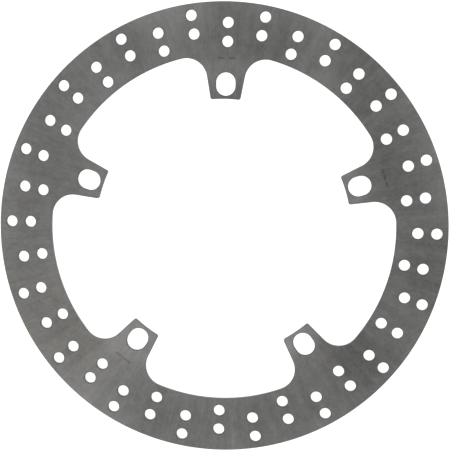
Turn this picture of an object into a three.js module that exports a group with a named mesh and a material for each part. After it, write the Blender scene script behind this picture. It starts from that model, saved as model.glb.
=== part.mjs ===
import * as THREE from 'three';

// A motorcycle front brake disc: one flat steel plate with a drilled friction band
// and five lugs that reach inward, each with an open slot for a wheel bolt.
// The plate lies on Z = 0 with its axis on +Z, and one lug points along +Y.
// Sizes are in millimetres and angles in degrees, counter-clockwise from +X.

const OUTER_RADIUS = 160;
const THICKNESS = 5;
const BAND_INNER_RADIUS = 123;

const LUG_COUNT = 5;
const FIRST_LUG_ANGLE = 18;
const LUG_TIP_RADIUS = 91;
const LUG_TIP_HALF_WIDTH = 10.5;
const LUG_FLANK_TAPER = 10.2;
const LUG_ROOT_FILLET = 15;
const LUG_TIP_CORNER = 1.5;

const SLOT_PITCH_CIRCLE = 203;
const SLOT_WIDTH = 14;
const SLOT_LENGTH = 16.6;

const VENT_RADIUS = 4;
const VENT_PAIR_COUNT = 36;
const FIRST_PAIR_ANGLE = -10.49;
const PAIR_PITCH = 10.0167;
// The radii of a pair's two holes, for the inner and the outer kind of pair.
const PAIR_KINDS = [
  [131.7, 145.1],
  [138.4, 151.8],
];

// Straight steps that stand in for each kind of arc.
const OUTER_STEPS = 144;
const BAND_STEPS = 14;
const FILLET_STEPS = 8;
const CORNER_STEPS = 2;
const TIP_STEPS = 4;
const VENT_STEPS = 16;
const SLOT_END_STEPS = 12;

const steel = new THREE.MeshStandardMaterial({
  color: 0x8b8b88,
  metalness: 1,
  roughness: 0.42,
});

const radians = THREE.MathUtils.degToRad;

function polar(radius, angle) {
  return new THREE.Vector2(radius * Math.cos(radians(angle)), radius * Math.sin(radians(angle)));
}

// Points along an arc about `centre`, both ends included.
function arc(centre, radius, from, to, steps) {
  return Array.from({ length: steps + 1 }, (_, i) =>
    polar(radius, from + ((to - from) * i) / steps).add(centre),
  );
}

// A whole circle, with no repeated point.
function circle(centre, radius, steps) {
  return arc(centre, radius, 0, 360, steps).slice(0, -1);
}

// The angle from a lug's centreline to a circle centre that lies `reach` from the axis
// and `offset` outside the lug's tapered flank. A negative offset is inside the lug.
function angleBesideFlank(reach, offset) {
  const taper = radians(LUG_FLANK_TAPER);
  const flank = LUG_TIP_HALF_WIDTH * Math.cos(taper) - LUG_TIP_RADIUS * Math.sin(taper);
  return LUG_FLANK_TAPER + THREE.MathUtils.radToDeg(Math.asin((flank + offset) / reach));
}

const FILLET_REACH = BAND_INNER_RADIUS - LUG_ROOT_FILLET;
const CORNER_REACH = LUG_TIP_RADIUS + LUG_TIP_CORNER;
const FILLET_ANGLE = angleBesideFlank(FILLET_REACH, LUG_ROOT_FILLET);
const CORNER_ANGLE = angleBesideFlank(CORNER_REACH, -LUG_TIP_CORNER);

// One side of a lug from the band to its tip: the root fillet and the tip corner, with the
// straight flank left between them. `side` is -1 for the clockwise side and 1 for the other.
function lugSide(lug, side) {
  const filletAngle = lug + side * FILLET_ANGLE;
  const cornerAngle = lug + side * CORNER_ANGLE;
  const towardsLug = lug - side * (90 - LUG_FLANK_TAPER);
  const awayFromLug = lug + side * (90 + LUG_FLANK_TAPER);
  const root = arc(
    polar(FILLET_REACH, filletAngle), LUG_ROOT_FILLET, filletAngle, towardsLug, FILLET_STEPS,
  );
  const corner = arc(
    polar(CORNER_REACH, cornerAngle), LUG_TIP_CORNER,
    awayFromLug, cornerAngle + side * 180, CORNER_STEPS,
  );
  return [...root, ...corner];
}

// The inner edge of the plate: band, lug, band, lug and so on, once round.
function innerEdge() {
  const axis = new THREE.Vector2();
  const lugPitch = 360 / LUG_COUNT;
  const points = [];
  for (let i = 0; i < LUG_COUNT; i++) {
    const lug = FIRST_LUG_ANGLE + i * lugPitch;
    const tip = arc(axis, LUG_TIP_RADIUS, lug - CORNER_ANGLE, lug + CORNER_ANGLE, TIP_STEPS);
    const band = arc(
      axis, BAND_INNER_RADIUS, lug + FILLET_ANGLE, lug + lugPitch - FILLET_ANGLE, BAND_STEPS,
    );
    points.push(...lugSide(lug, -1), ...tip.slice(1, -1));
    points.push(...lugSide(lug, 1).reverse(), ...band.slice(1, -1));
  }
  return points;
}

// A slot with round ends, centred on the pitch circle and long along the radius.
function slot(lug) {
  const endRadius = SLOT_WIDTH / 2;
  const endOffset = SLOT_LENGTH / 2 - endRadius;
  const outerEnd = polar(SLOT_PITCH_CIRCLE / 2 + endOffset, lug);
  const innerEnd = polar(SLOT_PITCH_CIRCLE / 2 - endOffset, lug);
  return [
    ...arc(outerEnd, endRadius, lug - 90, lug + 90, SLOT_END_STEPS),
    ...arc(innerEnd, endRadius, lug + 90, lug + 270, SLOT_END_STEPS),
  ];
}

function ventPair(i) {
  const angle = FIRST_PAIR_ANGLE + i * PAIR_PITCH;
  const radii = PAIR_KINDS[i % PAIR_KINDS.length];
  return radii.map((radius) => circle(polar(radius, angle), VENT_RADIUS, VENT_STEPS));
}

function brakeDisc() {
  const plate = new THREE.Shape(circle(new THREE.Vector2(), OUTER_RADIUS, OUTER_STEPS));
  plate.holes.push(new THREE.Path(innerEdge()));
  for (let i = 0; i < LUG_COUNT; i++) {
    plate.holes.push(new THREE.Path(slot(FIRST_LUG_ANGLE + (i * 360) / LUG_COUNT)));
  }
  for (let i = 0; i < VENT_PAIR_COUNT; i++) {
    plate.holes.push(...ventPair(i).map((points) => new THREE.Path(points)));
  }
  const geometry = new THREE.ExtrudeGeometry(plate, { depth: THICKNESS, bevelEnabled: false });
  const mesh = new THREE.Mesh(geometry, steel);
  mesh.name = 'brake_disc';
  return mesh;
}

const rotor = new THREE.Group();
rotor.add(brakeDisc());

export default rotor;
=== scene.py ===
import bpy
from math import asin, cos, pi, radians, sin
from mathutils import Matrix, Vector


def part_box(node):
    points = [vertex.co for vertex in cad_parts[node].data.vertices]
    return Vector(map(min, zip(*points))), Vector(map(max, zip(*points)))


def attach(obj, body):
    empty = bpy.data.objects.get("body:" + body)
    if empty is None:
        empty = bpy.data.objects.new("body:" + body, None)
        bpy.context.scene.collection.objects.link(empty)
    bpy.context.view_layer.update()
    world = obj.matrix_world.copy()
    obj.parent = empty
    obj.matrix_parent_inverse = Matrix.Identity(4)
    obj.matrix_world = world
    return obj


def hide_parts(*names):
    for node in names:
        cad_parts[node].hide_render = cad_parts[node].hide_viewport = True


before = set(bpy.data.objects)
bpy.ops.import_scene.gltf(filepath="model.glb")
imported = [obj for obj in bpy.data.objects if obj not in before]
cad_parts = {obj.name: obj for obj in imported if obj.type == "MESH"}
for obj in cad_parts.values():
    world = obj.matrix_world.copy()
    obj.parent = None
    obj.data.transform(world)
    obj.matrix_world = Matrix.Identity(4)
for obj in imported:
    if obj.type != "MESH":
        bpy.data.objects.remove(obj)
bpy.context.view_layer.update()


# Camera: it stands about a metre and a half over the disc with a long lens, leaning a
# little towards the upper right, so that a sliver of each hole's wall shows.
disc_low, disc_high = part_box("brake_disc")
THICKNESS = disc_high[2] - disc_low[2]
CAMERA_LENS_MM = 166.3
SENSOR_WIDTH_MM = 36
CAMERA_DISTANCE = 1.4789
CAMERA_LEAN = radians(5.966)
CAMERA_LEANS_TOWARDS = radians(40.18)
CAMERA_ROLL = radians(-38.86)
CAMERA_AIM = Vector((0.00161, 0.00148, disc_high[2]))

bpy.ops.object.camera_add()
camera = bpy.context.object
camera.data.lens = CAMERA_LENS_MM
camera.data.sensor_width = SENSOR_WIDTH_MM
turned = (Matrix.Rotation(CAMERA_LEANS_TOWARDS, 4, "Z") @ Matrix.Rotation(CAMERA_LEAN, 4, "Y")
          @ Matrix.Rotation(CAMERA_ROLL, 4, "Z"))
stand_off = Matrix.Translation((0, 0, CAMERA_DISTANCE))
camera.matrix_world = Matrix.Translation(CAMERA_AIM) @ turned @ stand_off
bpy.context.scene.camera = camera


# Studio: a pale lit table under a room that is bright at the walls and darker overhead,
# which is what the ground face mirrors, with soft boxes at the lower left and upper right.
class Wire:
    """A socket of a node tree. A sum on it adds the Math node that works it out."""

    def __init__(self, tree, socket=None):
        self.tree = tree
        self.socket = socket

    def node(self, kind, settings, sockets, output=0):
        """Adds a node, with its settings first and then its sockets, and gives one output."""
        made = self.tree.nodes.new("ShaderNode" + kind)
        for name, value in settings.items():
            if name == "stops":
                ramp = made.color_ramp
                ramp.elements.remove(ramp.elements[1])
                for i, (place, colour) in enumerate(value):
                    stop = ramp.elements[0] if i == 0 else ramp.elements.new(place)
                    stop.position = place
                    stop.color = (*colour, 1)
            else:
                setattr(made, name, value)
        for name, value in sockets.items():
            if isinstance(value, Wire):
                self.tree.links.new(value.socket, made.inputs[name])
            else:
                made.inputs[name].default_value = value
        return None if output is None else Wire(self.tree, made.outputs[output])

    def math(self, operation, *values):
        return self.node("Math", {"operation": operation}, dict(enumerate(values)))

    def __add__(self, other):
        return self.math("ADD", self, other)

    def __sub__(self, other):
        return self.math("SUBTRACT", self, other)

    def __rsub__(self, other):
        return self.math("SUBTRACT", other, self)

    def __mul__(self, other):
        return self.math("MULTIPLY", self, other)

    def __truediv__(self, other):
        return self.math("DIVIDE", self, other)

    __radd__ = __add__
    __rmul__ = __mul__


# The room's glow from the horizon up: how far up, and the colour there.
ROOM_GLOWS = [
    (0.0, (1.0, 1.0, 0.99)),
    (0.35, (0.55, 0.55, 0.54)),
    (0.8, (0.20, 0.20, 0.198)),
]
world = bpy.data.worlds.new("studio")
bpy.context.scene.world = world
world.use_nodes = True
world.node_tree.nodes.clear()
room = Wire(world.node_tree)
height = room.node("SeparateXYZ", {}, {0: room.node("TexCoord", {}, {}, "Generated")}, "Z")
glow = room.node("ValToRGB", {"stops": ROOM_GLOWS}, {0: height})
sky = room.node("Background", {}, {"Color": glow, "Strength": 1.0})
room.node("OutputWorld", {}, {"Surface": sky}, None)

TABLE_SIZE = 8.0
TABLE_GAP = 0.0001
TABLE_COLOUR = (0.86, 0.86, 0.86, 1)
TABLE_ROUGHNESS = 0.8
TABLE_GLOW = (1, 1, 1, 1)
bpy.ops.mesh.primitive_plane_add(size=TABLE_SIZE, location=(0, 0, disc_low[2] - TABLE_GAP))
table = bpy.context.object
table.name = "table"
bpy.ops.object.transform_apply(location=True, rotation=True, scale=True)
paper = bpy.data.materials.new("lit_table")
paper.use_nodes = True
shader = paper.node_tree.nodes["Principled BSDF"]
shader.inputs["Base Color"].default_value = TABLE_COLOUR
shader.inputs["Roughness"].default_value = TABLE_ROUGHNESS
shader.inputs["Emission Color"].default_value = TABLE_GLOW
shader.inputs["Emission Strength"].default_value = 1.0
table.data.materials.append(paper)

# The soft boxes: place, size and watts. Each one points at the middle of the disc.
SOFT_BOXES = [
    ((-0.9, -0.7, 1.8), 0.8, 1.0),
    ((0.9, 1.1, 1.6), 0.9, 1.0),
]
for place, size, watts in SOFT_BOXES:
    bpy.ops.object.light_add(type="AREA", location=place)
    lamp = bpy.context.object
    lamp.data.size = size
    lamp.data.energy = watts
    lamp.rotation_euler = (-Vector(place)).to_track_quat("-Z", "Y").to_euler()
bpy.context.scene.view_settings.view_transform = "Standard"


# The disc: one stainless steel plate, cut out with its vents, lugs and slots, ground flat
# on both faces and with every edge broken. Bolts through the five slots hold it to the wheel.
OUTER_RADIUS = disc_high[0]
BAND_INNER_RADIUS = 0.123
LUGS = 5
LUG_TIP_RADIUS = 0.091
LUG_TIP_HALF_WIDTH = 0.0105
LUG_FLANK_TAPER = radians(10.2)
LUG_ROOT_FILLET = 0.015
LUG_TIP_CORNER = 0.0015
SLOT_CENTRE_RADIUS = 0.1015
SLOT_END_RADIUS = 0.007
SLOT_LENGTH = 0.0166
VENT_RADIUS = 0.004
VENT_PAIRS = 36
FIRST_PAIR_ANGLE = radians(-10.49)
PAIR_PITCH = radians(10.0167)
INNER_PAIR_RADII = (0.1317, 0.1451)
OUTER_PAIR_RADII = (0.1384, 0.1518)
EDGE_BREAK = 0.0003
DRAWING_HEIGHT = disc_low[2] + EDGE_BREAK
SAME_PLACE = 0.00001
# A face lies flat when its normal leans this far up or down.
LIES_FLAT = 0.99
# Faces that meet at less than this are shaded as one curve.
SMOOTH_BELOW = radians(30)
# Straight steps round each circle and along each arc.
OUTER_STEPS = 360
VENT_STEPS = 32
TIP_STEPS = 5
CORNER_STEPS = 6
FILLET_STEPS = 24
BAY_STEPS = 21
SLOT_END_STEPS = 12


def point(radius, angle, centre=(0, 0)):
    """A place at the height of the drawing, so far from the centre at that angle."""
    return Vector((centre[0] + radius * cos(angle), centre[1] + radius * sin(angle), DRAWING_HEIGHT))


def start_at(place):
    """Puts down one selected vertex, to draw from."""
    bpy.ops.mesh.select_all(action="DESELECT")
    bpy.ops.mesh.primitive_plane_add(size=EDGE_BREAK, location=place)
    bpy.ops.mesh.merge(type="CENTER")


def sweep(angle, steps, centre=(0, 0), copies=False):
    """Draws an arc from the selected vertex, or copies what is selected round, counter-clockwise."""
    centre = (*centre[:2], DRAWING_HEIGHT)
    bpy.ops.mesh.spin(steps=steps, angle=angle, dupli=copies, center=centre, axis=(0, 0, -1))


def beside_flank(reach, offset):
    """The angle from a lug's centreline to a point that far from the axis and from the flank."""
    flank = LUG_TIP_HALF_WIDTH * cos(LUG_FLANK_TAPER) - LUG_TIP_RADIUS * sin(LUG_FLANK_TAPER)
    return LUG_FLANK_TAPER + asin((flank + offset) / reach)


bpy.ops.object.select_all(action="DESELECT")
bpy.ops.mesh.primitive_plane_add(size=EDGE_BREAK, location=(0, 0, DRAWING_HEIGHT))
disc = bpy.context.object
disc.name = "disc_plate"
bpy.ops.object.transform_apply(location=True, rotation=True, scale=True)
bpy.ops.object.mode_set(mode="EDIT")
bpy.ops.mesh.select_all(action="SELECT")
bpy.ops.mesh.delete(type="VERT")

# Half of one lug and of its slot, on +Y, from the tip round to the middle of the next bay.
fillet_reach = BAND_INNER_RADIUS - LUG_ROOT_FILLET
corner_reach = LUG_TIP_RADIUS + LUG_TIP_CORNER
fillet_angle = beside_flank(fillet_reach, LUG_ROOT_FILLET)
corner_angle = beside_flank(corner_reach, -LUG_TIP_CORNER)
fillet_centre = point(fillet_reach, pi / 2 - fillet_angle)
corner_centre = point(corner_reach, pi / 2 - corner_angle)
flank_foot = point(LUG_TIP_CORNER, -LUG_FLANK_TAPER, corner_centre)
flank_head = point(LUG_ROOT_FILLET, pi - LUG_FLANK_TAPER, fillet_centre)
start_at(point(LUG_TIP_RADIUS, pi / 2))
sweep(-corner_angle, TIP_STEPS)
sweep(pi / 2 + corner_angle - LUG_FLANK_TAPER, CORNER_STEPS, corner_centre)
bpy.ops.mesh.extrude_region_move(TRANSFORM_OT_translate={"value": flank_head - flank_foot})
sweep(-(pi / 2 + fillet_angle - LUG_FLANK_TAPER), FILLET_STEPS, fillet_centre)
sweep(-(pi / LUGS - fillet_angle), BAY_STEPS)

slot_half_straight = SLOT_LENGTH / 2 - SLOT_END_RADIUS
start_at((0, SLOT_CENTRE_RADIUS + SLOT_LENGTH / 2, DRAWING_HEIGHT))
sweep(-pi / 2, SLOT_END_STEPS, (0, SLOT_CENTRE_RADIUS + slot_half_straight))
bpy.ops.mesh.extrude_region_move(TRANSFORM_OT_translate={"value": (0, -2 * slot_half_straight, 0)})
sweep(-pi / 2, SLOT_END_STEPS, (0, SLOT_CENTRE_RADIUS - slot_half_straight))
bpy.ops.object.mode_set(mode="OBJECT")
other_half = disc.modifiers.new("other_half", "MIRROR")
other_half.merge_threshold = SAME_PLACE
bpy.ops.object.modifier_apply(modifier=other_half.name)

# The other four lugs, the outer edge, and each kind of vent pair copied round.
bpy.ops.object.mode_set(mode="EDIT")
bpy.ops.mesh.select_all(action="SELECT")
sweep(2 * pi * (LUGS - 1) / LUGS, LUGS - 1, copies=True)
bpy.ops.mesh.primitive_circle_add(vertices=OUTER_STEPS, radius=OUTER_RADIUS,
                                  location=(0, 0, DRAWING_HEIGHT))
more_holes = VENT_PAIRS // 2 - 1
for kind, radii in enumerate((INNER_PAIR_RADII, OUTER_PAIR_RADII)):
    for hole_radius in radii:
        first = point(hole_radius, FIRST_PAIR_ANGLE + kind * PAIR_PITCH)
        bpy.ops.mesh.primitive_circle_add(vertices=VENT_STEPS, radius=VENT_RADIUS, location=first)
        sweep(2 * PAIR_PITCH * more_holes, more_holes, copies=True)
bpy.ops.mesh.select_all(action="SELECT")
bpy.ops.mesh.remove_doubles(threshold=SAME_PLACE)
bpy.ops.mesh.fill(use_beauty=True)
wall = (0, 0, THICKNESS - 2 * EDGE_BREAK)
bpy.ops.mesh.extrude_region_move(TRANSFORM_OT_translate={"value": wall})
bpy.ops.mesh.select_all(action="SELECT")
bpy.ops.mesh.normals_make_consistent(inside=False)
bpy.ops.mesh.select_mode(type="FACE")

# Each flat side is inset by the edge break and raised by as much, which leaves its chamfers.
for side in (1, -1):
    bpy.ops.mesh.select_all(action="DESELECT")
    bpy.ops.object.mode_set(mode="OBJECT")
    for face in disc.data.polygons:
        face.select = face.normal.z * side > LIES_FLAT
    bpy.ops.object.mode_set(mode="EDIT")
    bpy.ops.mesh.inset(thickness=EDGE_BREAK, depth=EDGE_BREAK)
bpy.ops.object.mode_set(mode="OBJECT")
bpy.ops.object.shade_smooth_by_angle(angle=SMOOTH_BELOW)

# Ground faces: lines and streaks that the grinding wheel left along the radius, with painted highlights
# and painted shade in softly lighter and darker sectors, a little paler at the rim. Plain etched bars
# mark three lugs.
COOL_STEEL = (0.592, 0.591, 0.588, 1)
WARM_STEEL = (0.603, 0.592, 0.568, 1)
# Each kind of mark: how much it lightens or darkens at most, how many go round the disc, how
# long each one is in metres, and how finely it breaks up.
GRINDING_MARKS = {
    "fine lines": (0.14, 3000, 0.012, 2),
    "mottle": (0.18, 420, 0.0024, 1),
    "blotches": (0.16, 130, 0.008, 1),
    "streaks": (0.10, 420, 0.03, 2),
    "broad streaks": (0.16, 110, 0.06, 2),
    "sectors": (0.10, 14, 0.2, 2),
}
# Keeps the marks of the two faces from being the same.
OTHER_FACE_SHIFT = 50
# Painted highlights and painted shade, standing in for the sheen that the radial grinding lines throw
# back brighter in some sectors than in others: the sector's angle and half width in degrees, how much
# lighter it is all over, and how much lighter it gets in one step from mid band rimwards.
SECTOR_PAINTED_SHEEN = [
    (20, 17, -0.07, 0.12),
    (44, 9, -0.11, 0),
    (54, 9, 0, -0.11),
    (64, 8, 0.10, 0),
    (77, 15, 0, 0.06),
    (104, 13, 0.22, 0.08),
    (139, 20, 0.11, -0.08),
    (161, 12, 0, 0.06),
    (198, 16, 0.05, -0.07),
    (234, 12, 0.11, 0),
    (258, 20, -0.09, -0.03),
    (317, 10, -0.18, 0.06),
    (350, 15, -0.14, -0.07),
]
MID_BAND_RADIUS = 0.141
RIMWARD_STEP = 0.0138
# Warmer and cooler sectors: the angle and half width in degrees, and how much warmer than
# usual, where 0 is cool steel and 1 is warm.
USUAL_WARMTH = 0.45
SECTOR_WARMTHS = [
    (136, 30, -0.45),
    (212, 26, 0.55),
    (255, 16, -0.2),
]
# The lugs: the angle in degrees, how much lighter the root is than the band, then the tip
# than the root. The pairs of radii are where each tone starts and where it is full.
LUG_TONES = [
    (18, 0.14, 0.36),
    (90, 0.19, -0.20),
    (162, 0.04, 0.14),
    (234, 0.20, 0.06),
    (306, 0.07, 0.44),
]
LUG_TONE_FULL_WITHIN = 8
LUG_TONE_GONE_BEYOND = 20
LUG_ROOT_RADII = (0.124, 0.113)
LUG_TIP_RADII = (0.113, 0.095)
# The band is darkest at one radius and paler by the square of the distance from it, out to
# the rim and in as far as the inner limit.
WORN_RADIUS = 0.139
WORN_INNER_LIMIT = 0.126
WORN_DEPTH = 280
# Each etched mark: the lug's angle in degrees, the radius, the places of its bars along the
# tangent, their half length and how dark they are.
ETCHED_MARKS = [
    (90, 0.1199, (-0.0042, 0.0034), 0.0019, 0.3),
    (18, 0.1202, (-0.0043, 0.0009, 0.0054), 0.0016, 0.32),
    (234, 0.1184, (-0.0037, 0.0031), 0.0026, 0.22),
]
ETCH_HALF_WIDTH = 0.0005
ETCH_SOFTNESS = 0.0006
GROUND_ROUGHNESS = 0.36
STREAK_ROUGHNESS = 0.12
SECTOR_ROUGHNESS = 0.1
LINE_RELIEF = 0.00002
RELIEF_STRENGTH = 0.2

ground = bpy.data.materials.new("ground_steel")
ground.use_nodes = True
steel = Wire(ground.node_tree)
place = steel.node("TexCoord", {}, {}, "Object")
x, y, z = (steel.node("SeparateXYZ", {}, {0: place}, axis) for axis in "XYZ")
radius = steel.math("SQRT", x * x + y * y)
outer_face = steel.math("GREATER_THAN", z, (disc_low[2] + disc_high[2]) / 2)


def radial_noise(count, length, detail):
    """Noise from 0 to 1 in cells that run along the radius, so many to a full turn."""
    per_radian = count / (2 * pi)
    cells = steel.node("CombineXYZ", {}, {
        0: x / radius * per_radian,
        1: y / radius * per_radian,
        2: radius / length + outer_face * OTHER_FACE_SHIFT,
    })
    return steel.node("TexNoise", {}, {"Vector": cells, "Scale": 1.0, "Detail": detail}, "Fac")


def soft_step(value, start, end):
    """0 on the start's side and 1 on the end's side, with a soft slope between them."""
    return steel.node("MapRange", {"interpolation_type": "SMOOTHSTEP"},
                      {"Value": value, "From Min": start, "From Max": end})


def facing(angle, fade, full=0):
    """1 within `full` degrees of that angle round the disc, and 0 from `fade` degrees on."""
    towards = (x * cos(radians(angle)) + y * sin(radians(angle))) / radius
    return soft_step(towards, cos(radians(fade)), cos(radians(full)))


def bar(distance, half_size):
    """1 on a bar and 0 off it, by the distance from its middle."""
    return soft_step(steel.math("ABSOLUTE", distance), half_size + ETCH_SOFTNESS, half_size)


def blended(tree, way, amount, first, second):
    """Two colours blended in that way. A Mix node's colour sockets are 6 and 7, and its colour is 2."""
    return tree.node("Mix", {"data_type": "RGBA", "blend_type": way}, {0: amount, 6: first, 7: second}, 2)


def finish_metal(material, inputs):
    """Links each value to its socket of the metal's shader, and gives the disc the material."""
    shader = material.node_tree.nodes["Principled BSDF"]
    shader.inputs["Metallic"].default_value = 1
    for name, value in inputs.items():
        material.node_tree.links.new(value.socket, shader.inputs[name])
    disc.data.materials.append(material)


tone = 1
marks = {}
for kind, (depth, count, length, detail) in GRINDING_MARKS.items():
    marks[kind] = radial_noise(count, length, detail) - 0.5
    tone = tone + marks[kind] * (2 * depth)
off_worn = steel.math("MAXIMUM", radius, WORN_INNER_LIMIT) - WORN_RADIUS
tone = tone + off_worn * off_worn * WORN_DEPTH
rimwards = steel.math("MAXIMUM", (radius - MID_BAND_RADIUS) / RIMWARD_STEP, -1)
# Painted highlights and painted shade: the ground faces' sheen, made lighter or darker by sector in the
# colour.
for angle, half_width, lighter, step_lighter in SECTOR_PAINTED_SHEEN:
    tone = tone + facing(angle, half_width) * (rimwards * step_lighter + lighter)
root = soft_step(radius, *LUG_ROOT_RADII)
tip = soft_step(radius, *LUG_TIP_RADII)
for angle, root_lighter, tip_lighter in LUG_TONES:
    lug = facing(angle, LUG_TONE_GONE_BEYOND, LUG_TONE_FULL_WITHIN)
    tone = tone + lug * (root * root_lighter + tip * tip_lighter)
etched = 0
for angle, mark_radius, places, half_length, darkness in ETCHED_MARKS:
    outward = x * cos(radians(angle)) + y * sin(radians(angle))
    across = y * cos(radians(angle)) - x * sin(radians(angle))
    row = bar(outward - mark_radius, ETCH_HALF_WIDTH)
    for middle in places:
        etched = etched + row * bar(across - middle, half_length) * darkness
tone = tone * (1 - etched * outer_face)
warmth = USUAL_WARMTH
for angle, half_width, warmer in SECTOR_WARMTHS:
    warmth = warmth + facing(angle, half_width) * warmer
hue = blended(steel, "MIX", warmth, COOL_STEEL, WARM_STEEL)
colour = blended(steel, "MULTIPLY", 1.0, hue, tone)
roughness = (GROUND_ROUGHNESS + marks["streaks"] * STREAK_ROUGHNESS
             + marks["sectors"] * SECTOR_ROUGHNESS)
relief = marks["fine lines"] + marks["streaks"]
bumps = steel.node("Bump", {}, {"Strength": RELIEF_STRENGTH, "Distance": LINE_RELIEF, "Height": relief},
                   "Normal")
finish_metal(ground, {"Base Color": colour, "Roughness": roughness, "Normal": bumps})

# Cut walls and broken edges: the laser leaves the walls dull and somewhat darker than the ground
# faces, with fine lines that run straight through the plate. Their dark colour is also painted shade, the
# shade that falls on the walls inside the holes.
# The walls' dark colour is partly the laser's oxide and partly painted shade.
CUT_STEEL_AND_PAINTED_SHADE = (0.2, 0.2, 0.195, 1)
CUT_LINES_PER_METRE = (2500, 2500, 250)
CUT_LINE_DARKEST = 0.6
CUT_LINE_LIGHTER = 0.8
CUT_ROUGHNESS = 0.45
CUT_LINE_ROUGHER = 0.3
cut = bpy.data.materials.new("cut_edge_steel_and_painted_shade")
cut.use_nodes = True
edge = Wire(cut.node_tree)
place = edge.node("TexCoord", {}, {}, "Object")
drawn_out = edge.node("VectorMath", {"operation": "MULTIPLY"}, {0: place, 1: CUT_LINES_PER_METRE})
lines = edge.node("TexNoise", {}, {"Vector": drawn_out, "Scale": 1.0}, "Fac")
colour = blended(edge, "MULTIPLY", 1.0, CUT_STEEL_AND_PAINTED_SHADE, CUT_LINE_DARKEST + lines * CUT_LINE_LIGHTER)
finish_metal(cut, {"Base Color": colour, "Roughness": CUT_ROUGHNESS + lines * CUT_LINE_ROUGHER})
for face in disc.data.polygons:
    face.material_index = 0 if abs(face.normal.z) > LIES_FLAT else 1

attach(disc, "root")
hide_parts("brake_disc")
